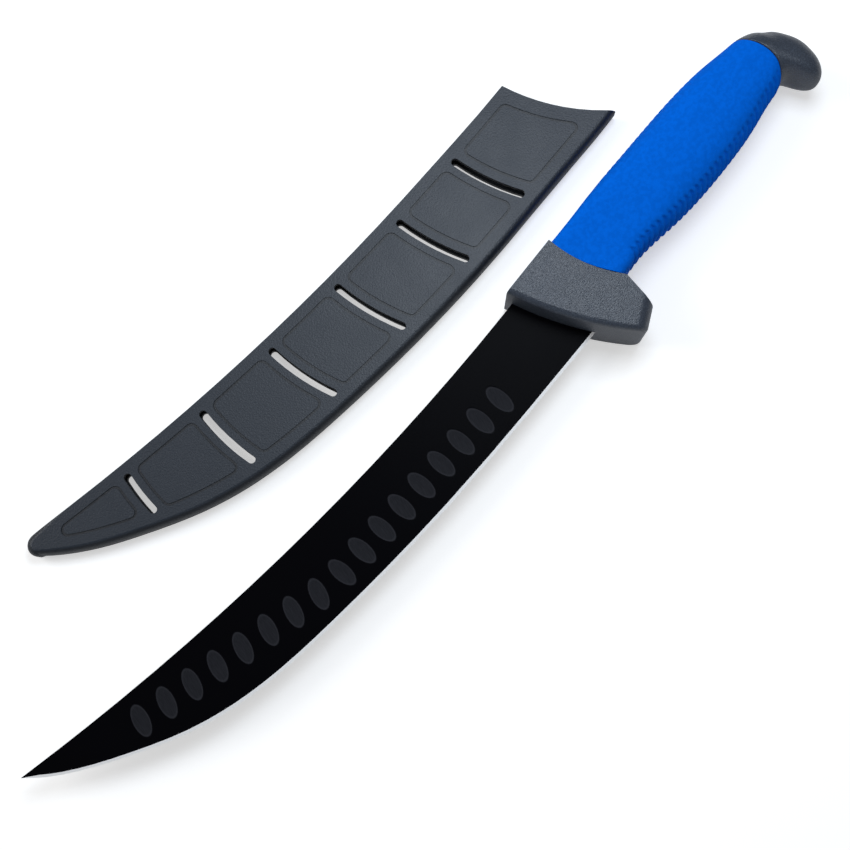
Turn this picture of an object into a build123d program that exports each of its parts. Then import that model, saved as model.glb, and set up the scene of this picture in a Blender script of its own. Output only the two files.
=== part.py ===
from build123d import *
import math
import os

# Fillet knife with an upswept blade, lying on its side beside its drawn-off sheath.
# X runs along the blade's chord to the butt, +Y is the spine side and +Z is up.
# Millimetres. While the parts are drawn, x = 0 is where the chord leaves the guard.

# Blade
blade_length = 254.0
blade_depth = 32.2
heel_thickness = 2.4
tip_thickness = 1.0
behind_edge_thickness = 0.45
bevel_width = 1.15
spine_radius = 960.0
spine_heel_rise = 16.3
spine_seat = 2.0
edge_seat = 19.0
edge_heel_slope = 0.17
edge_tip_slope = -0.95
blade_section_count = 15
last_section_share = 0.975

# The cutting edge between heel and tip, as shares of the blade's length and depth
edge_heel_share = 0.375
edge_shares = [(0.28, 0.80), (0.55, 1.0), (0.79, 0.815)]

# Hollows, ground by a crowned wheel in two settings of the blade
hollow_length = 13.0
hollow_width = 6.4
hollow_depth = 0.22
first_row = {"count": 9, "start": (-34.5, -9.5), "pitch": 10.7, "heading": 186.8, "tilt": -81.0}
second_row = {"count": 8, "start": (-131.0, -20.0), "pitch": 11.1, "heading": 174.6, "tilt": -103.0}

# Tang, a flat bar with holes that the handle's core fills
tang_length = 96.0
tang_root_height = 17.0
tang_end_height = 11.0
tang_rise = 10.0
tang_corner = 4.0
tang_hole_radius = 3.0
tang_hole_count = 3
tang_hole_pitch = 24.0
tang_first_hole = 38.0

# Guard, part of the hard core
guard_thickness = 30.0
guard_front_radius = 130.0
guard_spine_corner = (-8.5, 17.0)
guard_finger_corner = (20.5, -27.4)
guard_end_corner = (28.6, -21.5)
guard_notch = (28.6, -6.5)
guard_edge_round = 2.2
guard_end_round = 5.0

# Handle form, from inside the guard to the end of the butt
handle_end = 143.6
handle_height = 35.8
handle_thickness = 29.8
corner_fullness = 0.68
grip_wall = 3.0

# Handle stations: along the handle; its spine side and finger side as shares of its height;
# its thickness as a share; and how much of the section is rounded, from 0 square to 1 oval
station_shares = [
    (0.070, 0.562, -0.200, 1.000, 0.20),
    (0.200, 0.660, -0.160, 1.000, 0.30),
    (0.292, 0.745, -0.090, 0.975, 0.60),
    (0.405, 0.835, -0.075, 0.970, 0.85),
    (0.515, 0.916, -0.032, 0.985, 0.94),
    (0.627, 0.975, 0.048, 0.975, 0.94),
    (0.738, 1.000, 0.155, 0.920, 0.94),
    (0.822, 0.994, 0.270, 0.860, 0.94),
    (0.862, 0.984, 0.292, 0.835, 0.94),
    (0.892, 0.966, 0.200, 0.815, 0.94),
    (0.922, 0.908, 0.080, 0.785, 0.94),
    (0.950, 0.845, 0.076, 0.735, 0.94),
    (0.975, 0.730, 0.140, 0.640, 0.94),
    (0.992, 0.590, 0.235, 0.460, 0.94),
    (0.999, 0.490, 0.320, 0.210, 0.94),
]
stick_end_share = 0.9

# Seams between the hard core and the soft grip, on the plan of the knife
front_seam = [(15.6, 30.0), (20.4, 5.8), guard_notch]
butt_seam = [(118.5, 40.0), (123.6, 31.0), (126.3, 21.0), (123.4, 10.2)]

# Grip ribs, rolls parted by round grooves across the finger side
rib_count = 30
rib_pitch = 2.85
rib_groove_radius = 1.1
rib_groove_depth = 0.8
rib_groove_curve = 17.0
rib_groove_sweep = 110.0
rib_start = 7.0

# Sheath, two welded half shells that follow the blade's outline
sheath_thickness = 9.0
sheath_wall = 2.45
blade_side_clearance = 2.5
cavity_height = 4.6
mouth_gap = 0.8
mouth_corner = 1.5
sheath_edge_round = 2.6
sheath_spine_trim = 0.2
outline_run_on = 60.0
outline_point_count = 16
tip_turn = 132.0
weld_tongue_width = 0.8
weld_tongue_height = 0.7
weld_clearance = 0.06

# Slots through the sheath, and panels framed by grooves
slot_width = 3.0
slot_arc_radius = 90.0
slot_bulge = 1.2
slot_reach = 16.0
slot_spine_margin = 4.2
slot_edge_margin = 6.0
slot_end_share = 0.49
panel_spine_margin = 4.6
panel_edge_margin = 6.4
panel_mouth_margin = 5.6
panel_slot_land = 2.8
panel_corner = 3.0
groove_width = 1.0
groove_depth = 0.4
slot_tilts = [-67.5, -70.0, -72.0, -76.0, -83.5, -92.0]

# Slot middles: along and down from the chord, as shares of the blade's length and depth
slot_shares = [
    (0.146, 0.149), (0.272, 0.278), (0.4065, 0.435),
    (0.5465, 0.486), (0.691, 0.528), (0.8386, 0.345),
]

# Where the sheath lies beside the knife
sheath_draw = 56.3
sheath_aside = 63.4

# Overrun of every cut past what it cuts
overrun = 2.0

UP = Vector(0, 0, 1)


def slab(face, low, high):
    """A flat piece of the given outline between two heights."""
    return Pos(0, 0, low) * extrude(face, high - low)


def heading(angle):
    """The unit vector at an angle on the drawing plane."""
    return Vector(math.cos(math.radians(angle)), math.sin(math.radians(angle)), 0)


def disc(centre, radius):
    """A round face on the drawing plane."""
    return Pos(centre.X, centre.Y) * Circle(radius)


def spine_line():
    """The blade's spine, one arc from its seat in the guard to the tip."""
    return RadiusArc(Vector(spine_seat, spine_heel_rise), Vector(-blade_length, 0), spine_radius)


def edge_line():
    """The cutting edge, one curve from its seat in the guard to the tip."""
    places = [Vector(edge_seat, -edge_heel_share * blade_depth)]
    places += [Vector(-along * blade_length, -down * blade_depth) for along, down in edge_shares]
    places += [Vector(-blade_length, 0)]
    ends = [Vector(-1, -edge_heel_slope), Vector(-1, -edge_tip_slope)]
    return Spline(*places, tangents=ends)


SPINE = spine_line()
EDGE = edge_line()


def grind_at(share):
    """The grind at a share of the blade: spine point, edge point, half thickness at each."""
    half = heel_thickness + (tip_thickness - heel_thickness) * share
    return SPINE @ share, EDGE @ share, half / 2, behind_edge_thickness / 2


def blade_section(share):
    """The blade's section: spine, flat grind and edge bevel."""
    top, low, half, thin = grind_at(share)
    down = (low - top).normalized()
    shoulder = low - down * bevel_width
    corners = [top + UP * half, shoulder + UP * thin, low, shoulder - UP * thin, top - UP * half]
    return make_face(Polyline(*corners, close=True))


def share_at(place):
    """The share of the blade whose section passes through a place."""
    low_share, high_share = 0.0, 1.0
    while high_share - low_share > 1e-4:
        share = (low_share + high_share) / 2
        top, low = SPINE @ share, EDGE @ share
        beyond = (low - top).cross(place - top).Z < 0
        low_share, high_share = (share, high_share) if beyond else (low_share, share)
    return share


def hollow_wheels(row):
    """The grinding wheel at each hollow of a row, on both faces of the blade."""
    wheel_radius = hollow_length**2 / (8 * hollow_depth)
    crown_radius = hollow_width**2 / (8 * hollow_depth)
    wheel = Rot(0, 90, 0) * Torus(wheel_radius - crown_radius, crown_radius)
    for number in range(row["count"]):
        place = Vector(*row["start"]) + heading(row["heading"]) * row["pitch"] * number
        top, low, half, thin = grind_at(share_at(place))
        down = (low - top).normalized()
        width = (low - top).length - bevel_width
        fall = (half - thin) / width
        height = half - fall * (place - top).length
        for side in (1, -1):
            out = UP * side + down * fall
            face = Plane(place + UP * side * height, x_dir=heading(row["tilt"] + 90), z_dir=out)
            yield face * Pos(0, 0, wheel_radius - hollow_depth) * wheel


def tang():
    """The flat bar inside the handle, with its holes."""
    root = Vector(tang_root_height / 2, 0)
    rise = Rot(0, 0, tang_rise)
    bar = make_face(Polyline(
        (0, -tang_root_height / 2), (tang_length, -tang_end_height / 2),
        (tang_length, tang_end_height / 2), (0, tang_root_height / 2), close=True))
    bar = fillet(bar.vertices().group_by(Axis.X)[-1], tang_corner)
    holes = [Pos(tang_first_hole + tang_hole_pitch * n, 0) * Circle(tang_hole_radius)
             for n in range(tang_hole_count)]
    middle = (SPINE @ 0 + EDGE @ 0) / 2 - root
    bar = Pos(middle.X, middle.Y) * rise * (bar - holes)
    return slab(bar, -heel_thickness / 2, heel_thickness / 2)


def make_blade():
    """The ground blade with its point, hollows and tang, one piece of steel."""
    last = blade_section_count - 1
    sections = [blade_section(last_section_share * n / last) for n in range(last + 1)]
    point = loft([sections[-1], Vertex(*tuple(EDGE @ 1))], ruled=True)
    wheels = [*hollow_wheels(first_row), *hollow_wheels(second_row)]
    return loft(sections) + point + tang() - wheels


def handle_section(station, inset=0.0):
    """One section of the handle form: sides joined by corner curves."""
    along, spine, finger, thick, rounded = station
    half_height = (spine - finger) * handle_height / 2 - inset
    half_thick = thick * handle_thickness / 2 - inset
    plane = Plane((along * handle_end, (spine + finger) * handle_height / 2, 0), x_dir=(0, 1, 0), z_dir=(1, 0, 0))
    outline = []
    for turn, (y, z) in enumerate([(1, 1), (-1, 1), (-1, -1), (1, -1)]):
        side = Vector(y * half_height, z * half_thick * (1 - rounded))
        face = Vector(y * half_height * (1 - rounded), z * half_thick)
        pull_side = Vector(0, z * half_thick * rounded * corner_fullness)
        pull_face = Vector(y * half_height * rounded * corner_fullness, 0)
        corner = [side, side + pull_side, face + pull_face, face]
        corner = corner if turn % 2 == 0 else corner[::-1]
        outline.append(corner)
    edges = []
    for number, corner in enumerate(outline):
        following = outline[(number + 1) % len(outline)]
        edges += [Bezier(*corner), Line(corner[-1], following[0])]
    return plane * make_face(edges)


def handle_form():
    """The whole outer form of the handle, butt included."""
    return loft([handle_section(station) for station in station_shares])


def core_stick():
    """The hard core under the grip, thinner all round by the grip's wall."""
    stations = [station for station in station_shares if station[0] < stick_end_share]
    return loft([handle_section(station, grip_wall) for station in stations])


def grip_zone():
    """Everything between the two seams, as one block."""
    reach = handle_height + overrun
    top, bottom = handle_height + overrun, -handle_height
    front = ThreePointArc(*front_seam)
    back = Spline(*butt_seam)
    low_front, low_back = Vector(guard_notch[0], bottom), Vector(butt_seam[-1][0], bottom)
    high_front, high_back = Vector(front_seam[0][0], top), Vector(butt_seam[0][0], top + overrun)
    sides = [
        front, Line(front @ 1, low_front), Line(low_front, low_back), Line(low_back, back @ 1),
        back, Polyline(back @ 0, high_back, high_front, front @ 0),
    ]
    return slab(make_face(sides), -reach, reach)


def guard_front_centre():
    """The centre of the guard's rounded front, which the sheath's mouth shares."""
    high, low = Vector(*guard_spine_corner), Vector(*guard_finger_corner)
    half = (low - high) / 2
    inward = Vector(-half.Y, half.X).normalized()
    return high + half + inward * math.sqrt(guard_front_radius**2 - half.length**2)


def guard_block():
    """The guard: a slanted, rounded front, a square finger end and a straight rear."""
    centre = guard_front_centre()
    high, low = Vector(*guard_spine_corner), Vector(*guard_finger_corner)
    bulge = centre + ((high + low) / 2 - centre).normalized() * guard_front_radius
    slope = (station_shares[1][1] - station_shares[0][1]) / (station_shares[1][0] - station_shares[0][0])
    rear = handle_end * station_shares[1][0] + overrun
    spine_rise = (rear - guard_spine_corner[0]) * slope * handle_height / handle_end
    outline = [
        ThreePointArc(high, bulge, low),
        Polyline(low, guard_end_corner, guard_notch, (rear, guard_notch[1]),
                 (rear, guard_spine_corner[1] + spine_rise), high),
    ]
    block = slab(make_face(outline), -guard_thickness / 2, guard_thickness / 2)
    end_middle = (low + Vector(*guard_end_corner)) / 2
    rims = [block.edges().group_by(Axis.Z)[side] for side in (0, -1)]
    block = fillet([rim.sort_by_distance(end_middle)[0] for rim in rims], guard_end_round)
    rims = [block.edges().group_by(Axis.Z)[side] for side in (0, -1)]
    fronts = [rim.filter_by(GeomType.CIRCLE)[0] for rim in rims]
    return fillet(fronts, guard_edge_round)


def groove_ring(place, outward, groove_radius, depth, curve, sweep_angle):
    """A round groove that wraps one edge of the handle, square to the edge."""
    ring = Torus(curve, groove_radius, major_angle=sweep_angle)
    ring = Rot(0, 0, -sweep_angle / 2) * ring
    plane = Plane(place, x_dir=outward, z_dir=outward.cross(UP))
    return plane * Pos(groove_radius - depth - curve, 0, 0) * ring


def finger_line():
    """The handle's finger side on the plan."""
    stations = station_shares[1:9]
    return Spline(*[Vector(s[0] * handle_end, s[2] * handle_height) for s in stations])


def rib_grooves():
    """The grooves between the ribs, evenly spaced along the finger side."""
    line = finger_line()
    for number in range(rib_count):
        share = (rib_start + rib_pitch * number) / line.length
        along = line % share
        outward = Vector(along.Y, -along.X)
        yield groove_ring(line @ share, outward, rib_groove_radius, rib_groove_depth,
                          rib_groove_curve, rib_groove_sweep)


def make_grip(form, stick):
    """The soft sleeve between the seams, with its ribbed finger side."""
    sleeve = (form & grip_zone()) - stick
    return sleeve - list(rib_grooves())


def make_core(form, stick, blade):
    """The hard core moulded round the tang: guard, stick and butt."""
    return (form + guard_block()) - grip_zone() + stick - blade


def inside_edge(grow):
    """Everything on the spine's side of the cutting edge, the edge moved outwards."""
    shares = [number / outline_point_count for number in range(outline_point_count + 1)]
    ways = [EDGE % share for share in shares]
    places = [EDGE @ share + Vector(-way.Y, way.X) * grow for share, way in zip(shares, ways)]
    side = Spline(*places, tangents=[ways[0], ways[-1]])
    sides, end, way = [side], places[-1], ways[-1]
    if grow > 0:
        round_tip = JernArc(end, way, grow, -tip_turn)
        sides, end, way = [side, round_tip], round_tip @ 1, round_tip % 1
    before, after = places[0] - ways[0] * outline_run_on, end + way * outline_run_on
    top = spine_heel_rise + 2 * outline_run_on
    corners = [(after.X, top), (before.X, top), before]
    return make_face([*sides, Polyline(end, after, *corners, places[0])])


def sheath_mouth(back_off=0.0):
    """Everything on the handle's side of the sheath's rounded mouth."""
    return disc(guard_front_centre(), guard_front_radius + mouth_gap + back_off)


def beyond_spine(grow):
    """Everything past the blade's spine, the spine moved outwards."""
    return disc(SPINE.arc_center, spine_radius - grow)


def margin_region(spine_margin, edge_margin, mouth_margin):
    """The sheath's face inside its margins."""
    spine_grow = blade_side_clearance + sheath_wall - spine_margin
    edge_grow = blade_side_clearance + sheath_wall - edge_margin
    return inside_edge(edge_grow) - beyond_spine(spine_grow) - sheath_mouth(mouth_margin)


def grown_region(grow, back_off=0.0):
    """The blade's outline grown outwards, with a round tip, as far as the mouth."""
    return inside_edge(grow) - beyond_spine(grow - sheath_spine_trim) - sheath_mouth(back_off)


def slot_band(number, width):
    """A curved band across the sheath along one slot, rounded towards the tip."""
    along, down = slot_shares[number]
    middle = Vector(-along * blade_length, -down * blade_depth)
    inward = heading(slot_tilts[number] + 90)
    centre = middle + inward * (slot_arc_radius - slot_bulge)
    ring = disc(centre, slot_arc_radius + width / 2) - disc(centre, slot_arc_radius - width / 2)
    return ring & disc(middle, slot_reach + width)


def slot_faces():
    """The through slots, with rounded ends."""
    region = margin_region(slot_spine_margin, slot_edge_margin, 0)
    slots = [region & slot_band(number, slot_width) for number in range(len(slot_shares))]
    return [fillet(slot.vertices(), slot_width * slot_end_share) for slot in slots]


def panel_faces(inset=0.0):
    """The panels between the slots, with rounded corners, all drawn in by an inset."""
    region = margin_region(panel_spine_margin + inset, panel_edge_margin + inset,
                           panel_mouth_margin + inset)
    width = slot_width + 2 * (panel_slot_land + inset)
    bands = [slot_band(number, width) for number in range(len(slot_shares))]
    panels = region - bands
    return fillet(panels.vertices(), panel_corner - inset)


def shell_form():
    """One half shell about the parting plane, without its welding rim."""
    half, outer = sheath_thickness / 2, blade_side_clearance + sheath_wall
    shell = slab(inside_edge(outer) - sheath_mouth(), 0, half)
    edge_side = shell.edges().group_by(Axis.Z)[-1].filter_by(GeomType.BSPLINE)
    shell = fillet(edge_side, sheath_edge_round)
    shell -= slab(beyond_spine(outer - sheath_spine_trim), -overrun, half + overrun)
    shell -= slab(grown_region(blade_side_clearance, -overrun), -overrun, cavity_height / 2)
    slots = [slab(slot, -overrun, half + overrun) for slot in slot_faces()]
    frames = panel_faces() - panel_faces(groove_width)
    grooves = [slab(frame, half - groove_depth, half + overrun) for frame in frames.faces()]
    return shell - slots - grooves


def weld_rim(width, height):
    """The welding tongue round the rim, or the groove that takes it."""
    middle = blade_side_clearance + sheath_wall / 2
    ring = grown_region(middle + width / 2) - grown_region(middle - width / 2)
    return slab(ring, -overrun, height)


def make_sheath_front(shell):
    """The upper half shell, with the groove that takes the other's tongue."""
    return shell - weld_rim(weld_tongue_width + 2 * weld_clearance, weld_tongue_height + weld_clearance)


def make_sheath_back(shell):
    """The lower half shell, with its welding tongue."""
    return mirror(shell, Plane.XY) + weld_rim(weld_tongue_width, weld_tongue_height)


def all_pieces():
    """Every piece in its place: the knife on its side, the sheath drawn off beside it."""
    form, stick, blade, shell = handle_form(), core_stick(), make_blade(), shell_form()
    knife_place = Pos(0, 0, guard_thickness / 2)
    sheath_place = Pos(sheath_draw, sheath_aside, sheath_thickness / 2)
    return {
        "blade": knife_place * blade,
        "handle_core": knife_place * make_core(form, stick, blade),
        "grip": knife_place * make_grip(form, stick),
        "sheath_front": sheath_place * make_sheath_front(shell),
        "sheath_back": sheath_place * make_sheath_back(shell),
    }


def centred(pieces):
    """The pieces moved together, so that the middle of their box is over the origin."""
    boxes = [piece.bounding_box() for piece in pieces.values()]
    low_x, high_x = min(box.min.X for box in boxes), max(box.max.X for box in boxes)
    low_y, high_y = min(box.min.Y for box in boxes), max(box.max.Y for box in boxes)
    shift = Pos(-(low_x + high_x) / 2, -(low_y + high_y) / 2, 0)
    return {name: shift * piece for name, piece in pieces.items()}


if __name__ == "__main__":
    os.makedirs("parts", exist_ok=True)
    for name, piece in centred(all_pieces()).items():
        export_step(piece, f"parts/{name}.step")
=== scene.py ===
"""Fillet knife and its drawn-off sheath: visible pieces, finishes, studio and camera."""

import logging
import math
from dataclasses import dataclass
from enum import Enum
from typing import Any

import bmesh
import bpy
import numpy as np
from mathutils import Matrix, Vector

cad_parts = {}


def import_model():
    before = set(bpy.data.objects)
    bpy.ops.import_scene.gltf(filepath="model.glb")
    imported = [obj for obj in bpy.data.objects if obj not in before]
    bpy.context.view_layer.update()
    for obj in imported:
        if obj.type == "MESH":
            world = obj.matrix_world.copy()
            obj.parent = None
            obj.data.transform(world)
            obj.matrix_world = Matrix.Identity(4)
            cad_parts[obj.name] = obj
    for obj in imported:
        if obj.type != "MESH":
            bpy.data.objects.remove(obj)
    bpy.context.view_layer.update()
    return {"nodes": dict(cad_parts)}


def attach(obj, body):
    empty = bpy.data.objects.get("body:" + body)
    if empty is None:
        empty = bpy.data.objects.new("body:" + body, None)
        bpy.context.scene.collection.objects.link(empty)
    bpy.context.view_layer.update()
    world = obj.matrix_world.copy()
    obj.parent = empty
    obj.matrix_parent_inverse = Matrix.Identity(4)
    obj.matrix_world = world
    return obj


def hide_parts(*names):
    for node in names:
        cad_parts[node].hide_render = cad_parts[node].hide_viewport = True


LOG = logging.getLogger("fillet_knife")
Colour = tuple[float, float, float, float]


def shade(red: float, green: float, blue: float) -> Colour:
    """Turns a colour as it is seen on a screen into the light that it reflects.

    Args:
        red: Red level from 0 to 255.
        green: Green level from 0 to 255.
        blue: Blue level from 0 to 255.

    Returns:
        The linear colour with full alpha.
    """
    seen = [level / 255 for level in (red, green, blue)]
    light = [s / 12.92 if s <= 0.04045 else ((s + 0.055) / 1.055) ** 2.4 for s in seen]
    return (*light, 1.0)


class Sum(Enum):
    """The sums that a material uses."""

    ADD = "ADD"
    SUBTRACT = "SUBTRACT"
    MULTIPLY = "MULTIPLY"
    DIVIDE = "DIVIDE"
    POWER = "POWER"
    ABSOLUTE = "ABSOLUTE"
    ROUND = "ROUND"
    LESS = "LESS_THAN"
    LOWEST = "MINIMUM"
    HIGHEST = "MAXIMUM"


class Wire:
    """A number that changes over a surface: an expression on it adds its Math nodes."""

    def __init__(self, paint: "Paint", socket: bpy.types.NodeSocket) -> None:
        """Wraps one output of a node.

        Args:
            paint: The material that the node is in.
            socket: The output.
        """
        self.paint = paint
        self.socket = socket

    def sum(self, kind: Sum, *values: Any) -> "Wire":
        """Adds one Math node.

        Args:
            kind: What the node does.
            *values: Its inputs in order, wires or numbers.

        Returns:
            The node's result.
        """
        node = self.paint.node("ShaderNodeMath", {"operation": kind.value}, dict(enumerate(values)))
        return Wire(self.paint, node.outputs[0])

    def __add__(self, other: Any) -> "Wire":
        """The sum of two numbers."""
        return self.sum(Sum.ADD, self, other)

    __radd__ = __add__

    def __sub__(self, other: Any) -> "Wire":
        """This number less another."""
        return self.sum(Sum.SUBTRACT, self, other)

    def __rsub__(self, other: Any) -> "Wire":
        """Another number less this one."""
        return self.sum(Sum.SUBTRACT, other, self)

    def __mul__(self, other: Any) -> "Wire":
        """The product of two numbers."""
        return self.sum(Sum.MULTIPLY, self, other)

    __rmul__ = __mul__

    def __truediv__(self, other: Any) -> "Wire":
        """This number divided by another."""
        return self.sum(Sum.DIVIDE, self, other)

    def __pow__(self, other: Any) -> "Wire":
        """This number to a power."""
        return self.sum(Sum.POWER, self, other)

    def __abs__(self) -> "Wire":
        """This number without its sign."""
        return self.sum(Sum.ABSOLUTE, self)

    def __lt__(self, other: Any) -> "Wire":
        """One where this number is the smaller, and elsewhere zero."""
        return self.sum(Sum.LESS, self, other)

    def rounded(self) -> "Wire":
        """The nearest whole number."""
        return self.sum(Sum.ROUND, self)

    def between(self, low: float, high: float) -> "Wire":
        """This number held between two limits."""
        return self.sum(Sum.LOWEST, self.sum(Sum.HIGHEST, self, low), high)

    def rise(self, start: float, end: float) -> "Wire":
        """A smooth step from zero at the start to one at the end.

        Args:
            start: Where the step begins.
            end: Where the step ends, above or below the start.

        Returns:
            The step.
        """
        settings = {"interpolation_type": "SMOOTHSTEP"}
        inputs = {"Value": self, "From Min": start, "From Max": end}
        return Wire(self.paint, self.paint.node("ShaderNodeMapRange", settings, inputs).outputs["Result"])


class Paint:
    """One material while it is put together."""

    def __init__(self, name: str) -> None:
        """Starts an empty material.

        Args:
            name: The material's name.
        """
        self.material = bpy.data.materials.new(name)
        self.material.use_nodes = True
        self.tree = self.material.node_tree
        self.tree.nodes.clear()

    def node(self, kind: str, settings: dict[str, Any] | None = None,
             inputs: dict[Any, Any] | None = None) -> bpy.types.Node:
        """Adds any node.

        Args:
            kind: The node's type.
            settings: What is chosen on the node itself, such as an operation.
            inputs: A value or a link for each socket, by name or number.

        Returns:
            The node.
        """
        node = self.tree.nodes.new(kind)
        for name, value in (settings or {}).items():
            setattr(node, name, value)
        for key, value in (inputs or {}).items():
            source = value.socket if isinstance(value, Wire) else value
            if isinstance(source, bpy.types.NodeSocket):
                self.tree.links.new(source, node.inputs[key])
            else:
                node.inputs[key].default_value = source
        return node

    def place(self) -> bpy.types.NodeSocket:
        """The place on the piece, in metres in the piece's own frame."""
        return self.node("ShaderNodeTexCoord").outputs["Object"]

    def parts(self, vector: bpy.types.NodeSocket) -> tuple[Wire, Wire, Wire]:
        """The three numbers of a place or direction."""
        split = self.node("ShaderNodeSeparateXYZ", inputs={"Vector": vector})
        return tuple(Wire(self, split.outputs[axis]) for axis in "XYZ")

    def facing(self) -> tuple[Wire, Wire, Wire]:
        """The three numbers of the direction that the surface faces."""
        return self.parts(self.node("ShaderNodeTexCoord").outputs["Normal"])

    def grain(self, size: float, detail: float = 2.0, stretch: tuple[float, float, float] = (1, 1, 1),
              turn: float = 0.0) -> Wire:
        """Cloudy noise.

        Args:
            size: The size of its patches in metres.
            detail: How much finer noise is laid over it.
            stretch: How much longer the patches are along each axis.
            turn: The angle in degrees by which the axes are turned about Z.

        Returns:
            The noise, about 0.5 on average.
        """
        scale = [1 / (size * share) for share in stretch]
        settings = {"vector_type": "TEXTURE"}
        turned = self.node("ShaderNodeMapping", settings,
                           {"Vector": self.place(), "Rotation": (0, 0, math.radians(turn))})
        scaled = self.node("ShaderNodeMapping", inputs={"Vector": turned.outputs[0], "Scale": scale})
        inputs = {"Vector": scaled.outputs[0], "Scale": 1.0, "Detail": detail}
        return Wire(self, self.node("ShaderNodeTexNoise", inputs=inputs).outputs[0])

    def mix(self, share: Any, first: Any, second: Any) -> bpy.types.NodeSocket:
        """Mixes two colours.

        Args:
            share: How much of the second colour there is.
            first: A colour or a link to one.
            second: A colour or a link to one.

        Returns:
            The mixed colour.
        """
        inputs = {"Factor": share, 6: first, 7: second}
        return self.node("ShaderNodeMix", {"data_type": "RGBA"}, inputs).outputs[2]

    def bump(self, height: Wire, depth: float, below: Any = None) -> bpy.types.NodeSocket:
        """Turns a height over the surface into its shading.

        Args:
            height: The height, from 0 to 1.
            depth: How deep 1 is, in metres.
            below: The shading of a coarser relief under it.

        Returns:
            The normal.
        """
        inputs = {"Height": height, "Distance": depth}
        if below is not None:
            inputs["Normal"] = below
        return self.node("ShaderNodeBump", inputs=inputs).outputs[0]

    def finish(self, **sockets: Any) -> bpy.types.Material:
        """Ends the material with one surface.

        Args:
            **sockets: The surface's sockets, with _ for each space in a name.

        Returns:
            The material.
        """
        inputs = {name.replace("_", " "): value for name, value in sockets.items()}
        surface = self.node("ShaderNodeBsdfPrincipled", inputs=inputs)
        self.node("ShaderNodeOutputMaterial", inputs={"Surface": surface.outputs[0]})
        return self.material


@dataclass(frozen=True)
class HollowRow:
    """A straight row of ground hollows: lengths in metres, angles in degrees, from the guard's datum."""

    count: int
    start: tuple[float, float]
    pitch: float
    heading: float
    tilt: float


@dataclass(frozen=True)
class CoatedSteel:
    """Black coat over ground steel, uncoated along the cutting bevel, where the steel is painted near white
    as a painted highlight, brushed inside the hollows.
    """

    coat: Colour = shade(6, 6, 9)
    hollow_coat: Colour = shade(45, 46, 51)
    rim_tone: Colour = shade(66, 67, 73)
    bare_steel_and_highlight: Colour = shade(254, 254, 255)
    gloss: float = 0.02
    bevel_facing: float = 0.986
    bevel_side: float = -0.05
    bevel_metal: float = 0.1
    hollow_share: float = 0.9
    rim_share: float = 0.25
    rim_start: float = 0.78
    rim_full: float = 0.93
    streak_size: float = 0.0001
    streak_stretch: tuple[float, float, float] = (1, 40, 1)
    streak_turn: float = -8
    streak_share: float = 0.4
    cloud_size: float = 0.02
    roughness: float = 0.3
    cloud_roughness: float = 0.06
    hollow_roughness: float = 0.16
    bevel_polish: float = 0.02
    brush_size: float = 0.0003
    brush_stretch: tuple[float, float, float] = (12, 1, 1)
    brush_depth: float = 0.0000015
    hollow_length: float = 0.013
    hollow_width: float = 0.0064
    rows: tuple[HollowRow, ...] = (
        HollowRow(9, (-0.0345, -0.0095), 0.0107, 186.8, -81.0),
        HollowRow(8, (-0.131, -0.02), 0.0111, 174.6, -103.0),
    )

    def hollows(self, paint: Paint, row: HollowRow, datum: Vector) -> Wire:
        """How far a place is from the nearest hollow's middle, 1 on the hollow's outline.

        Args:
            paint: The material.
            row: The row of hollows.
            datum: Where the blade's chord leaves the guard, in the frame.

        Returns:
            The distance as a share of the hollow's size.
        """
        way = Vector((math.cos(math.radians(row.heading)), math.sin(math.radians(row.heading))))
        axis = Vector((math.cos(math.radians(row.tilt)), math.sin(math.radians(row.tilt))))
        x, y, _ = paint.parts(paint.place())
        east, north = x - (datum.x + row.start[0]), y - (datum.y + row.start[1])
        number = ((east * way.x + north * way.y) / row.pitch).rounded().between(0, row.count - 1)
        east, north = east - number * (row.pitch * way.x), north - number * (row.pitch * way.y)
        along = (east * axis.x + north * axis.y) / (self.hollow_length / 2)
        across = (north * axis.x - east * axis.y) / (self.hollow_width / 2)
        return (along * along + across * across) ** 0.5

    def material(self, datum: Vector) -> bpy.types.Material:
        """Builds the finish.

        Args:
            datum: Where the blade's chord leaves the guard, in the frame.

        Returns:
            The material.
        """
        paint = Paint("coated_steel")
        first, second = [self.hollows(paint, row, datum) for row in self.rows]
        reach = first.sum(Sum.LOWEST, first, second)
        inside = reach.rise(1.0, 0.9)
        rim = reach.rise(self.rim_start, self.rim_full) * inside
        _, north, up = paint.facing()
        bevel = (abs(up) < self.bevel_facing) * (north < self.bevel_side)
        streaks = paint.grain(self.streak_size, 3.0, self.streak_stretch, self.streak_turn)
        cloud = paint.grain(self.cloud_size, 2.0)
        brushed = (1 - self.streak_share) + streaks.rise(0.35, 0.75) * self.streak_share
        hollow = paint.mix(brushed, self.coat, self.hollow_coat)
        colour = paint.mix(inside * self.hollow_share, self.coat, hollow)
        # A lighter ring is mixed in just inside each hollow's outline.
        colour = paint.mix(rim * self.rim_share, colour, self.rim_tone)
        # Painted highlight: the uncoated steel of the bevel gets a near-white, almost non-metal colour that
        # stands in for its bright reflection.
        colour = paint.mix(bevel, colour, self.bare_steel_and_highlight)
        roughness = (self.roughness + cloud * self.cloud_roughness
                     + inside * self.hollow_roughness - bevel * self.bevel_polish)
        relief = paint.bump(paint.grain(self.brush_size, 3.0, self.brush_stretch), self.brush_depth)
        return paint.finish(Base_Color=colour, Metallic=bevel * self.bevel_metal, Roughness=roughness,
                            Specular_IOR_Level=self.gloss, Normal=relief)


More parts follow.
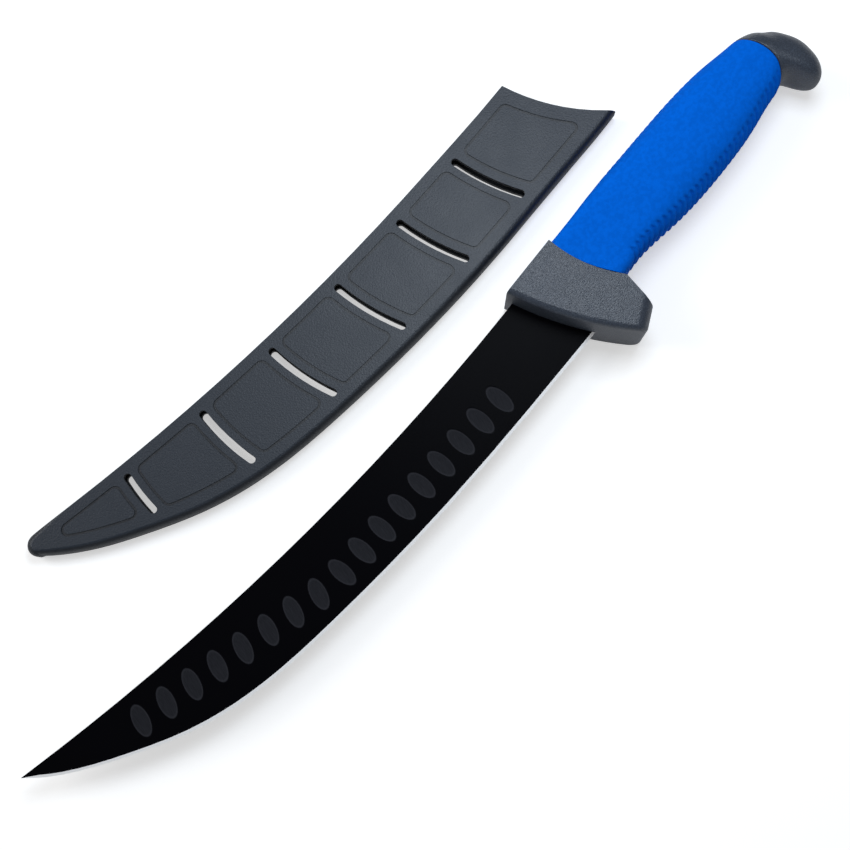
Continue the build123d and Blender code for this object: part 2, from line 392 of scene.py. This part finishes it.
@dataclass(frozen=True)
class GrainedPlastic:
    """Hard moulded plastic with a fine spark-eroded grain."""

    name: str
    colour: Colour
    light_fleck: Colour
    roughness: float
    gloss: float
    grain_size: float = 0.00042
    grain_depth: float = 0.00006
    face_height: float = 0.0
    painted_shade_depth: float = 0.00022
    painted_shade_colour: Colour = shade(13, 15, 19)
    painted_shade_share: float = 0.6
    cloud_size: float = 0.012
    cloud_share: float = 0.2
    fleck_share: float = 0.5
    cloud_roughness: float = 0.1
    side_roughness: float = 0.3
    relief_stretch: float = 1.3

    def material(self) -> bpy.types.Material:
        """Builds the finish, with painted shade in the grooves, slot walls, rounded edges and sides below a
        face whose height is given.

        Returns:
            The material.
        """
        paint = Paint(self.name)
        fleck = paint.grain(self.grain_size, 3.0)
        cloud = paint.grain(self.cloud_size, 2.0)
        light = fleck.rise(0.42, 0.68) * self.fleck_share + cloud * self.cloud_share
        colour = paint.mix(light, self.colour, self.light_fleck)
        # Painted shade: wherever the surface lies more than the set depth below the top or bottom face
        # (grooves, slot walls, rounded edges, sides), the colour is darkened.
        if self.face_height:
            half = self.face_height / 2
            _, _, up = paint.parts(paint.place())
            below = abs(up - half).rise(half, half - self.painted_shade_depth)
            colour = paint.mix(below * self.painted_shade_share, colour, self.painted_shade_colour)
        _, _, level = paint.facing()
        roughness = (self.roughness + (cloud - 0.5) * self.cloud_roughness
                     + (1 - abs(level)) * self.side_roughness)
        relief = paint.bump(paint.grain(self.grain_size * self.relief_stretch, 3.0), self.grain_depth)
        return paint.finish(Base_Color=colour, Roughness=roughness, Specular_IOR_Level=self.gloss,
                            Normal=relief)


@dataclass(frozen=True)
class SoftRubber:
    """Matt blue rubber with a soft, mottled skin."""

    colour: Colour = shade(2, 103, 221)
    deep: Colour = shade(1, 96, 208)
    roughness: float = 0.78
    gloss: float = 0.02
    mottle_size: float = 0.0016
    skin_size: float = 0.0022
    skin_depth: float = 0.00018
    pore_size: float = 0.0005
    pore_depth: float = 0.00005

    def material(self) -> bpy.types.Material:
        """Builds the finish.

        Returns:
            The material.
        """
        paint = Paint("grip_rubber")
        mottle = paint.grain(self.mottle_size, 4.0)
        colour = paint.mix(mottle.rise(0.35, 0.65), self.deep, self.colour)
        skin = paint.bump(paint.grain(self.skin_size, 3.0), self.skin_depth)
        relief = paint.bump(paint.grain(self.pore_size, 2.0), self.pore_depth, skin)
        return paint.finish(Base_Color=colour, Roughness=self.roughness, Specular_IOR_Level=self.gloss,
                            Normal=relief)


@dataclass(frozen=True)
class Track:
    """A smooth line through knots, each a place along X and a level.

    Where no slopes are given for its two ends, each end has the slope of the straight run there.
    """

    along: tuple[float, ...]
    level: tuple[float, ...]
    slopes: tuple[float, float] | None = None

    def at(self, place: np.ndarray) -> np.ndarray:
        """The levels at some places.

        Args:
            place: The places along X.

        Returns:
            The level at each of them.
        """
        x, y = np.array(self.along), np.array(self.level)
        wide = np.diff(x)
        grid, right = np.eye(len(x)), np.gradient(y, x)
        if self.slopes:
            right[0], right[-1] = self.slopes
        for k in range(1, len(x) - 1):
            grid[k, k - 1:k + 2] = wide[k], 2 * (wide[k - 1] + wide[k]), wide[k - 1]
            right[k] = 3 * (wide[k] * (y[k] - y[k - 1]) / wide[k - 1]
                            + wide[k - 1] * (y[k + 1] - y[k]) / wide[k])
        slope = np.linalg.solve(grid, right)
        k = np.clip(np.searchsorted(x, place) - 1, 0, len(x) - 2)
        t = np.clip((place - x[k]) / wide[k], 0, 1)
        start = (1 + 2 * t) * (1 - t) ** 2 * y[k] + t * (1 - t) ** 2 * wide[k] * slope[k]
        end = t * t * (3 - 2 * t) * y[k + 1] + t * t * (t - 1) * wide[k] * slope[k + 1]
        return start + end


def ease(value: np.ndarray, start: float, end: float) -> np.ndarray:
    """A smooth step from zero at the start to one at the end."""
    share = np.clip((value - start) / (end - start), 0, 1)
    return share * share * (3 - 2 * share)


@dataclass(frozen=True)
class HandleForm:
    """The handle's outer form, in metres from the guard's datum.

    Each station has its place along the handle, the levels of the spine side and the finger side,
    the half thickness, and how square its section is.
    """

    stations: tuple[tuple[float, float, float, float, float], ...] = (
        (0.0100, 0.0196, -0.0072, 0.0149, 13.8), (0.0287, 0.0232, -0.0057, 0.0149, 9.1),
        (0.0419, 0.0263, -0.0032, 0.0145, 4.4), (0.0582, 0.0294, -0.0027, 0.0145, 3.0),
        (0.0740, 0.0320, -0.0014, 0.0147, 2.65), (0.0899, 0.0342, 0.0013, 0.0145, 2.65),
        (0.1060, 0.0352, 0.0052, 0.0137, 2.65), (0.1180, 0.0350, 0.0090, 0.0128, 2.65),
        (0.1230, 0.0348, 0.0106, 0.0125, 2.65), (0.1260, 0.0341, 0.0119, 0.0123, 2.65),
        (0.1291, 0.0327, 0.0096, 0.0121, 2.65), (0.1315, 0.0309, 0.0054, 0.0117, 2.65),
        (0.1346, 0.0288, 0.0024, 0.0111, 2.65), (0.1371, 0.0255, 0.0028, 0.0102, 2.65),
        (0.1391, 0.0222, 0.0049, 0.0086, 2.65), (0.1403, 0.0191, 0.0078, 0.0064, 2.65),
        (0.1411, 0.0165, 0.0110, 0.0035, 2.65),
    )
    front_seam: tuple[tuple[float, float], ...] = ((0.030, 0.0156), (0.0058, 0.0204), (-0.0065, 0.0286))
    butt_seam: tuple[tuple[float, float], ...] = (
        (0.0102, 0.1234), (0.0210, 0.1263), (0.0310, 0.1236), (0.0400, 0.1185))
    butt_seam_reach: tuple[float, float] = (0.005, 0.04)

    def column(self, number: int) -> Track:
        """One measure of the stations as a smooth line along the handle."""
        return Track(tuple(s[0] for s in self.stations), tuple(s[number] for s in self.stations))

    def skin(self, x: np.ndarray, turn: np.ndarray, inset: np.ndarray) -> tuple[np.ndarray, np.ndarray]:
        """Places on the form at some places along it and angles round it.

        Args:
            x: The places along the handle.
            turn: The angles about its middle, zero towards the spine side.
            inset: How far under the form each place is.

        Returns:
            How far each place is towards the spine side, and how high.
        """
        spine, finger = self.column(1).at(x), self.column(2).at(x)
        half, thick = (spine - finger) / 2, self.column(3).at(x)
        square = np.interp(x, [s[0] for s in self.stations], [s[4] for s in self.stations])
        across, up = np.abs(np.cos(turn) / half), np.abs(np.sin(turn) / thick)
        reach = (across ** square + up ** square) ** (-1 / square) - inset
        return (spine + finger) / 2 + reach * np.cos(turn), reach * np.sin(turn)

    def seam(self, y: np.ndarray) -> np.ndarray:
        """Where the grip's front seam is along the handle, at some places across it."""
        return np.polyval(np.polyfit(*zip(*self.front_seam), 2), y)

    def rear(self, y: np.ndarray) -> np.ndarray:
        """Where the butt's seam is along the handle, at some places across it."""
        return np.polyval(np.polyfit(*zip(*self.butt_seam), 3), np.clip(y, *self.butt_seam_reach))


@dataclass(frozen=True)
class RibRow:
    """A row of creases between ribs: the first one's place along the side, their number and depth."""

    start: float
    count: int
    depth: float


@dataclass
class Handle:
    """The soft grip and the hard butt, as closed grids over the handle's form."""

    form: HandleForm = HandleForm()
    round_count: int = 144
    grip_rows: int = 430
    butt_rows: int = 90
    lip: float = 0.0006
    lip_draw: float = 0.6
    wall: float = 0.003
    seam_gap: float = 0.00015
    butt_lip_end: float = 0.13
    grid_start: float = 0.025
    grid_length: float = 0.1
    grid_rounds: int = 12
    rib_pitch: float = 0.00285
    rib_half_width: float = 0.0011
    rib_edge: float = 1.2
    finger_ribs: RibRow = RibRow(0.0070, 33, 0.00095)
    spine_ribs: RibRow = RibRow(0.0220, 18, 0.0003)
    rib_reach: float = 0.0042
    rib_lean: float = 0.0007
    rib_bulge: float = 0.0012
    rib_fade: float = 0.75
    seam_fade: float = 0.002
    first_rib_line: float = 0.0287
    side_end: float = 0.15
    side_steps: int = 3001

    def creases(self, x: np.ndarray, off_side: np.ndarray, column: int, ribs: RibRow) -> np.ndarray:
        """How deep the creases between ribs are.

        Args:
            x: Places along the handle.
            off_side: How far each is from the side that carries the ribs.
            column: The station column of that side.
            ribs: The row of creases.

        Returns:
            The depth at each place.
        """
        fine = np.linspace(0.0, self.side_end, self.side_steps)
        side = self.form.column(column).at(fine)
        run = np.concatenate([[0], np.cumsum(np.hypot(np.diff(fine), np.diff(side)))])
        run = run - np.interp(self.first_rib_line, fine, run)
        share = np.clip(off_side / self.rib_reach, 0, 1)
        shift = self.rib_lean * share + 4 * self.rib_bulge * share * (1 - share)
        along = (np.interp(x, fine, run) - shift - ribs.start) / self.rib_pitch
        nearest = np.clip(np.round(along), 0, ribs.count - 1)
        near = 1 - np.abs(along - nearest) * self.rib_pitch / self.rib_half_width
        faded = 1 - ease(off_side, self.rib_fade * self.rib_reach, self.rib_reach)
        return ribs.depth * np.clip(near, 0, 1) ** self.rib_edge * faded

    def grid(self, share: np.ndarray, start: Any, end: Any) -> tuple[np.ndarray, np.ndarray, np.ndarray]:
        """Follows two seams round the form.

        Args:
            share: How far each row is from the first seam to the second.
            start: Gives the first seam's place along the handle from places across it.
            end: Gives the second seam's.

        Returns:
            The places along and the angles of the grid, and the distance to the nearer seam.
        """
        turns = np.arange(self.round_count) * 2 * math.pi / self.round_count
        rows, turn = np.meshgrid(share, turns, indexing="ij")
        x = self.grid_start + rows * self.grid_length
        for _ in range(self.grid_rounds):
            y, _ = self.form.skin(x, turn, 0 * x)
            x = start(y) * (1 - rows) + end(y) * rows
        y, _ = self.form.skin(x, turn, 0 * x)
        return x, turn, np.minimum(x - start(y), end(y) - x)

    def rounded_lip(self, to_seam: np.ndarray) -> np.ndarray:
        """How far a rounded lip draws in, at some distances from its seam."""
        gap = np.clip(self.lip - to_seam, 0, self.lip)
        return self.lip_draw * (self.lip - np.sqrt(self.lip ** 2 - gap ** 2))

    def solid(self, name: str, x: np.ndarray, y: np.ndarray, z: np.ndarray,
              datum: Vector) -> bpy.types.Object:
        """Makes a closed piece from a grid of places.

        Args:
            name: The piece's name.
            x: The grid's places along the handle.
            y: Its places towards the spine side.
            z: Its heights.
            datum: Where the handle's drawing starts, in the frame.

        Returns:
            The piece.
        """
        rows, round_count = x.shape
        places = np.stack([x, y, z], axis=-1).reshape(-1, 3) + np.array(datum)
        ends = [places[:round_count].mean(axis=0), places[-round_count:].mean(axis=0)]
        faces = []
        for row in range(rows - 1):
            for spot in range(round_count):
                following = (spot + 1) % round_count
                low, high = row * round_count, (row + 1) * round_count
                faces.append((low + spot, low + following, high + following, high + spot))
        first, last = len(places), len(places) + 1
        for spot in range(round_count):
            following = (spot + 1) % round_count
            faces.append((first, following, spot))
            faces.append((last, (rows - 1) * round_count + spot, (rows - 1) * round_count + following))
        mesh = bpy.data.meshes.new(name)
        mesh.from_pydata([*map(tuple, places), *map(tuple, ends)], [], faces)
        mesh.polygons.foreach_set("use_smooth", [True] * len(faces))
        piece = bpy.data.objects.new(name, mesh)
        bpy.context.scene.collection.objects.link(piece)
        return piece

    def sleeve(self, datum: Vector) -> bpy.types.Object:
        """Makes the grip, with its ribs and its rounded lips.

        Args:
            datum: Where the handle's drawing starts, in the frame.

        Returns:
            The grip.
        """
        share = np.concatenate([[0, 0], np.linspace(0, 1, self.grip_rows), [1, 1]])
        x, turn, to_seam = self.grid(share, self.form.seam, self.form.rear)
        y, _ = self.form.skin(x, turn, 0 * x)
        finger, spine = self.form.column(2).at(x), self.form.column(1).at(x)
        inset = (self.creases(x, y - finger, 2, self.finger_ribs)
                 + self.creases(x, spine - y, 1, self.spine_ribs))
        inset = inset * ease(to_seam, 0.0, self.seam_fade) + self.rounded_lip(to_seam)
        inset[:2], inset[-2:] = [[self.wall], [self.lip]], [[self.lip], [self.wall]]
        y, z = self.form.skin(x, turn, inset)
        return self.solid("grip_sleeve", x, y, z, datum)

    def butt(self, datum: Vector) -> bpy.types.Object:
        """Makes the butt, from its seam with the grip to the end of the handle.

        Args:
            datum: Where the handle's drawing starts, in the frame.

        Returns:
            The butt.
        """
        share = np.sin(np.linspace(0, 1, self.butt_rows) * math.pi / 2)
        share = np.concatenate([[0, 0], share])
        end = self.form.stations[-1][0]
        x, turn, to_seam = self.grid(share, lambda y: self.form.rear(y) + self.seam_gap,
                                     lambda y: 0 * y + end)
        inset = self.rounded_lip(to_seam) * (x < self.butt_lip_end)
        inset[:2] = [[self.wall], [self.lip]]
        y, z = self.form.skin(x, turn, inset)
        return self.solid("core_butt", x, y, z, datum)


def reshaped(node: bpy.types.Object, name: str, move: Any, datum: Vector) -> bpy.types.Object:
    """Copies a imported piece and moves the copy's points.

    Args:
        node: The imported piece.
        name: The copy's name.
        move: Takes the points' places from the datum and gives their new ones.
        datum: Where the places are measured from, in the frame.

    Returns:
        The copy.
    """
    mesh = node.data.copy()
    mesh.name = name
    places = np.empty(len(mesh.vertices) * 3)
    mesh.vertices.foreach_get("co", places)
    moved = move(places.reshape(-1, 3) - np.array(datum)) + np.array(datum)
    mesh.vertices.foreach_set("co", moved.ravel())
    mesh.update()
    piece = bpy.data.objects.new(name, mesh)
    bpy.context.scene.collection.objects.link(piece)
    return piece


@dataclass(frozen=True)
class BladeLines:
    """The blade's spine and cutting edge, along X from where the chord leaves the guard."""

    length: float = 0.254
    spine_rise: float = 0.0163
    spine_seat: float = 0.002
    spine_radius: float = 0.960
    edge: Track = Track((-0.254, -0.22098, -0.18796, -0.12954, -0.06858, 0.019),
                        (0.0, -0.02021, -0.02901, -0.03174, -0.02608, -0.01206), (-0.95, 0.17))
    drawn_edge: Track = Track((-0.254, -0.20066, -0.1397, -0.07112, 0.019),
                              (0.0, -0.02624, -0.0322, -0.02576, -0.01208), (-0.95, 0.17))
    heel: float = 0.019
    edge_zone: tuple[float, float] = (0.7, 0.95)
    least_depth: float = 1e-6

    def spine(self, x: np.ndarray) -> np.ndarray:
        """The spine's level at some places.

        Args:
            x: The places.

        Returns:
            The level at each of them.
        """
        run = self.length + self.spine_seat
        share = (x + self.length) / run
        return self.spine_rise * share - run ** 2 / (2 * self.spine_radius) * share * (1 - share)

    def deepen(self, places: np.ndarray) -> np.ndarray:
        """Moves the points near the cutting edge onto the photographed edge.

        Args:
            places: The blade's points.

        Returns:
            Their new places.
        """
        x, y = places[:, 0], places[:, 1]
        down = (self.spine(x) - y) / np.maximum(self.spine(x) - self.drawn_edge.at(x), self.least_depth)
        change = (self.edge.at(x) - self.drawn_edge.at(x)) * (x < 0)
        return np.stack([x, y + change * ease(down, *self.edge_zone), places[:, 2]], axis=-1)


@dataclass
class Knife:
    """The knife: its blade, hard core and soft grip."""

    blade: str = "blade"
    core: str = "handle_core"
    grip: str = "grip"
    body: str = "knife"
    guard_datum: float = 0.254
    core_cut: float = 0.04
    weld: float = 1e-6
    moulding: GrainedPlastic = GrainedPlastic(
        name="core_plastic", colour=shade(44, 50, 61), light_fleck=shade(74, 83, 96),
        roughness=0.3, gloss=0.42, grain_size=0.00042, grain_depth=0.00018)

    def tip(self, nodes: dict[str, bpy.types.Object]) -> Vector:
        """The blade's tip, which is its lowest place along X."""
        return min((v.co for v in nodes[self.blade].data.vertices), key=lambda place: place.x).copy()

    def datum(self, nodes: dict[str, bpy.types.Object]) -> Vector:
        """Where the blade's chord leaves the guard, in the frame."""
        return self.tip(nodes) + Vector((self.guard_datum, 0, 0))

    def dress(self, nodes: dict[str, bpy.types.Object]) -> None:
        """Gives each piece its finish.

        Args:
            nodes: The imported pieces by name.
        """
        datum, handle = self.datum(nodes), Handle()
        blade = reshaped(nodes[self.blade], "ground_blade", BladeLines().deepen, datum)
        guard, butt, sleeve = self.guard(nodes[self.core], datum), handle.butt(datum), handle.sleeve(datum)
        wear(blade, CoatedSteel().material(datum))
        core = self.moulding.material()
        wear(guard, core)
        wear(butt, core)
        wear(sleeve, SoftRubber().material())
        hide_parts(self.blade)
        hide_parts(self.core)
        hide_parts(self.grip)
        for piece in (blade, guard, butt, sleeve):
            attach(piece, self.body)

    def guard(self, node: bpy.types.Object, datum: Vector) -> bpy.types.Object:
        """Copies the hard core as far as its cut under the grip, and closes the cut.

        Args:
            node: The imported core.
            datum: Where the handle's drawing starts, in the frame.

        Returns:
            The guard with the start of the stick.
        """
        piece = reshaped(node, "core_guard", lambda places: places, datum)
        cut = bmesh.new()
        cut.from_mesh(piece.data)
        place, way = datum + Vector((self.core_cut, 0, 0)), Vector((1, 0, 0))
        everything = [*cut.verts, *cut.edges, *cut.faces]
        got = bmesh.ops.bisect_plane(cut, geom=everything, plane_co=place, plane_no=way, clear_outer=True)
        corners_cut = [part for part in got["geom_cut"] if isinstance(part, bmesh.types.BMVert)]
        bmesh.ops.remove_doubles(cut, verts=corners_cut, dist=self.weld)
        rim = [edge for edge in cut.edges if edge.is_boundary
               and all(abs((end.co - place).dot(way)) < self.weld for end in edge.verts)]
        bmesh.ops.triangle_fill(cut, use_beauty=True, edges=rim, normal=way)
        cut.to_mesh(piece.data)
        cut.free()
        return piece


@dataclass
class Sheath:
    """The sheath: two welded half shells."""

    shells: tuple[str, str] = ("sheath_front", "sheath_back")
    body: str = "sheath"
    lines: BladeLines = BladeLines()
    drawn: tuple[float, float] = (0.0563, 0.0634)
    laid: tuple[float, float] = (0.0563, 0.0640)
    turn: float = 0.48
    drawn_border: float = 0.00495
    border: float = 0.0044
    swell: float = 0.00105
    spine_change: float = -0.00055
    spine_blend: tuple[float, float] = (-0.06, -0.01)
    swell_middle: float = 0.56
    swell_wave: float = 1.1
    side_steps: int = 400
    drawn_mouth: tuple[float, float, float] = (0.11254, 0.06439, 0.1308)
    mouth: tuple[float, float, float] = (0.0692, 0.04602, 0.0825)
    mouth_blend: float = 0.045
    least_depth: float = 1e-6
    # Its face height turns on the painted shade in the grooves, slot walls, rounded edges and sides of both
    # shells.
    moulding: GrainedPlastic = GrainedPlastic(
        name="sheath_plastic", colour=shade(22, 31, 43), light_fleck=shade(33, 44, 57),
        roughness=0.44, gloss=0.5, grain_size=0.0005, grain_depth=0.00011, face_height=0.009)

    def side(self, edge: Track, border: float, swell: float, x: np.ndarray) -> np.ndarray:
        """The sheath's edge side, which runs beside the blade's cutting edge.

        Args:
            edge: The cutting edge.
            border: How far outside it the side runs.
            swell: How much further at the mouth, and how much nearer at the tip.
            x: Places along the sheath.

        Returns:
            The side's level at each of them.
        """
        tip, heel = -self.lines.length, self.lines.heel
        fine = np.linspace(tip, heel, self.side_steps)
        level = edge.at(fine)
        slope = np.gradient(level, fine)
        share = 1 - (fine - tip) / (heel - tip)
        out = border + swell * np.sin(2 * math.pi * (self.swell_middle - share) / self.swell_wave)
        length = np.hypot(1, slope)
        return np.interp(x, fine + out * slope / length, level - out / length)

    def settle(self, places: np.ndarray) -> np.ndarray:
        """Moves a shell's points onto the photographed outline.

        Args:
            places: The shell's points from the datum.

        Returns:
            Their new places.
        """
        x, y = places[:, 0] - self.drawn[0], places[:, 1] - self.drawn[1]
        old = self.side(self.lines.drawn_edge, self.drawn_border, 0.0, x)
        new = self.side(self.lines.edge, self.border, self.swell, x)
        top = self.lines.spine(x) + self.drawn_border
        down = np.clip((top - y) / np.maximum(top - old, self.least_depth), 0, 1)
        y_new = y + self.spine_change * ease(x, *self.spine_blend) * (1 - down) + (new - old) * down
        mouths = [near - np.sqrt(np.maximum(reach ** 2 - (y_new - side) ** 2, 0))
                  for near, side, reach in (self.drawn_mouth, self.mouth)]
        x_new = x + (mouths[1] - mouths[0]) * ease(x - mouths[0], -self.mouth_blend, 0.0)
        turn = math.radians(self.turn)
        laid_x = x_new * math.cos(turn) - y_new * math.sin(turn) + self.laid[0]
        laid_y = x_new * math.sin(turn) + y_new * math.cos(turn) + self.laid[1]
        return np.stack([laid_x, laid_y, places[:, 2]], axis=-1)

    def dress(self, nodes: dict[str, bpy.types.Object], datum: Vector) -> None:
        """Gives both shells the same moulded finish.

        Args:
            nodes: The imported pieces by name.
            datum: Where the blade's chord leaves the guard, in the frame.
        """
        material = self.moulding.material()
        for name in self.shells:
            shell = reshaped(nodes[name], f"{name}_shell", self.settle, datum)
            wear(shell, material)
            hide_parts(name)
            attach(shell, self.body)


def wear(piece: bpy.types.Object, material: bpy.types.Material) -> None:
    """Puts a finish on a piece and logs which finish it wears.

    Args:
        piece: The piece.
        material: Its finish.
    """
    if not piece.material_slots:
        piece.data.materials.append(material)
    for held in piece.material_slots:
        held.material = material
    LOG.info("%s wears %s", piece.name, material.name)


@dataclass
class Viewpoint:
    """Where the photograph was taken from: a camera above the table, tilted a little."""

    side: float = 850.0
    focal: float = 1463.0
    below: tuple[float, float] = (450.0, 630.0)
    tip_seen: tuple[float, float] = (20.5, 778.3)
    heading: float = 41.035
    height: float = 0.5478
    sensor: float = 36.0

    def sight(self, pixel: tuple[float, float]) -> Vector:
        """The direction from the camera to a pixel, in the camera's own axes."""
        half = self.side / 2
        return Vector(((pixel[0] - half) / self.focal, -(pixel[1] - half) / self.focal, -1))

    def table_axes(self) -> Matrix:
        """The table's axes, image right, image up and up, as the camera sees them.

        Returns:
            The axes as a matrix's rows.
        """
        up = -self.sight(self.below).normalized()
        right = Vector((0, 1, 0)).cross(up).normalized()
        return Matrix((right, up.cross(right), up))

    def on_table(self, pixel: tuple[float, float], height: float) -> Vector:
        """The place seen at a pixel, from the point below the camera.

        Args:
            pixel: Where it is seen.
            height: Its height over the table.

        Returns:
            The place, with its height.
        """
        ray = self.table_axes() @ self.sight(pixel)
        return ray * ((height - self.height) / ray.z) + Vector((0, 0, self.height))

    def to_frame(self, tip: Vector) -> Matrix:
        """The move from the table's axes to the frame.

        Args:
            tip: The blade's tip in the frame.

        Returns:
            The move as a matrix.
        """
        turn = Matrix.Rotation(-math.radians(self.heading), 4, "Z")
        seen = self.on_table(self.tip_seen, tip.z)
        return Matrix.Translation(tip) @ turn @ Matrix.Translation(-seen)

    def camera(self, tip: Vector) -> bpy.types.Object:
        """Makes the camera.

        Args:
            tip: The blade's tip in the frame.

        Returns:
            The camera.
        """
        data = bpy.data.cameras.new("camera")
        data.sensor_width = self.sensor
        data.lens = self.focal / self.side * self.sensor
        data.clip_start, data.clip_end = 0.01, 20.0
        camera = bpy.data.objects.new("camera", data)
        stand = Matrix.Translation((0, 0, self.height)) @ self.table_axes().to_4x4()
        camera.matrix_world = self.to_frame(tip) @ stand
        bpy.context.scene.collection.objects.link(camera)
        bpy.context.scene.camera = camera
        LOG.info("camera at %s", tuple(round(x, 4) for x in camera.location))
        return camera


@dataclass(frozen=True)
class Softbox:
    """A square lamp: its place over the table, image right, image up and up, and what it shines at."""

    name: str
    place: tuple[float, float, float]
    aim: tuple[float, float, float]
    side: float
    power: float
    tint: tuple[float, float, float] = (1.0, 1.0, 1.0)

    def light(self, to_frame: Matrix) -> None:
        """Hangs the lamp.

        Args:
            to_frame: The move from the table's axes to the frame.
        """
        data = bpy.data.lights.new(self.name, "AREA")
        data.shape, data.size, data.energy, data.color = "SQUARE", self.side, self.power, self.tint
        lamp = bpy.data.objects.new(self.name, data)
        place, aim = to_frame @ Vector(self.place), to_frame @ Vector(self.aim)
        turn = (aim - place).to_track_quat("-Z", "Y").to_matrix().to_4x4()
        lamp.matrix_world = Matrix.Translation(place) @ turn
        bpy.context.scene.collection.objects.link(lamp)


@dataclass
class Studio:
    """A white table under soft light."""

    softboxes: tuple[Softbox, ...] = (
        Softbox("key_softbox", place=(0.055, 0.26, 0.5), aim=(0.03, 0.13, 0.0), side=0.22, power=1.25,
                tint=(0.86, 0.95, 1.05)),
        Softbox("side_softbox", place=(-0.9, 0.3, 0.8), aim=(0.0, 0.1, 0.0), side=0.6, power=5.0),
    )
    fill: float = 0.3
    floor_half: float = 3.0
    floor_colour: Colour = (0.8, 0.8, 0.8, 1.0)
    floor_glow: float = 0.5

    def floor(self) -> None:
        """Lays the white floor, which keeps the shadows."""
        half = self.floor_half
        mesh = bpy.data.meshes.new("floor")
        corners = [(-half, -half, 0), (half, -half, 0), (half, half, 0), (-half, half, 0)]
        mesh.from_pydata(corners, [], [(0, 1, 2, 3)])
        floor = bpy.data.objects.new("floor", mesh)
        bpy.context.scene.collection.objects.link(floor)
        paint = Paint("white_floor")
        rays = paint.node("ShaderNodeLightPath").outputs
        seen = [Wire(paint, rays[name]) for name in ("Is Camera Ray", "Is Glossy Ray", "Is Transmission Ray")]
        shown = (seen[0] + seen[1] + seen[2]).between(0, 1)
        matt = paint.node("ShaderNodeBsdfDiffuse", inputs={"Color": self.floor_colour})
        glow = paint.node("ShaderNodeEmission", inputs={"Strength": shown * self.floor_glow})
        both = paint.node("ShaderNodeAddShader", inputs={0: matt.outputs[0], 1: glow.outputs[0]})
        paint.node("ShaderNodeOutputMaterial", inputs={"Surface": both.outputs[0]})
        mesh.materials.append(paint.material)

    def sky(self) -> None:
        """Fills the room with even light, and shows white behind the table."""
        world = bpy.data.worlds.new("studio")
        world.use_nodes = True
        nodes, links = world.node_tree.nodes, world.node_tree.links
        nodes.clear()
        path, background = nodes.new("ShaderNodeLightPath"), nodes.new("ShaderNodeBackground")
        strength = nodes.new("ShaderNodeMapRange")
        strength.inputs["To Min"].default_value, strength.inputs["To Max"].default_value = self.fill, 1.0
        links.new(path.outputs["Is Camera Ray"], strength.inputs["Value"])
        links.new(strength.outputs[0], background.inputs["Strength"])
        links.new(background.outputs[0], nodes.new("ShaderNodeOutputWorld").inputs["Surface"])
        bpy.context.scene.world = world

    def build(self, to_frame: Matrix) -> None:
        """Sets up the floor, the fill and the lamps.

        Args:
            to_frame: The move from the table's axes to the frame.
        """
        self.floor()
        self.sky()
        for softbox in self.softboxes:
            softbox.light(to_frame)
        bpy.context.scene.view_settings.view_transform = "Standard"


def corners(box: tuple[Vector, Vector]) -> list[list[float]]:
    """A box's two corners as plain numbers."""
    return [list(corner) for corner in box]


def main() -> None:
    """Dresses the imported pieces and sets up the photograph's view."""
    logging.basicConfig(level=logging.INFO)
    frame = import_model()
    knife, sheath, view = Knife(), Sheath(), Viewpoint()
    tip = knife.tip(frame["nodes"])
    knife.dress(frame["nodes"])
    sheath.dress(frame["nodes"], knife.datum(frame["nodes"]))
    view.camera(tip)
    Studio().build(view.to_frame(tip))


if __name__ == "__main__":
    main()
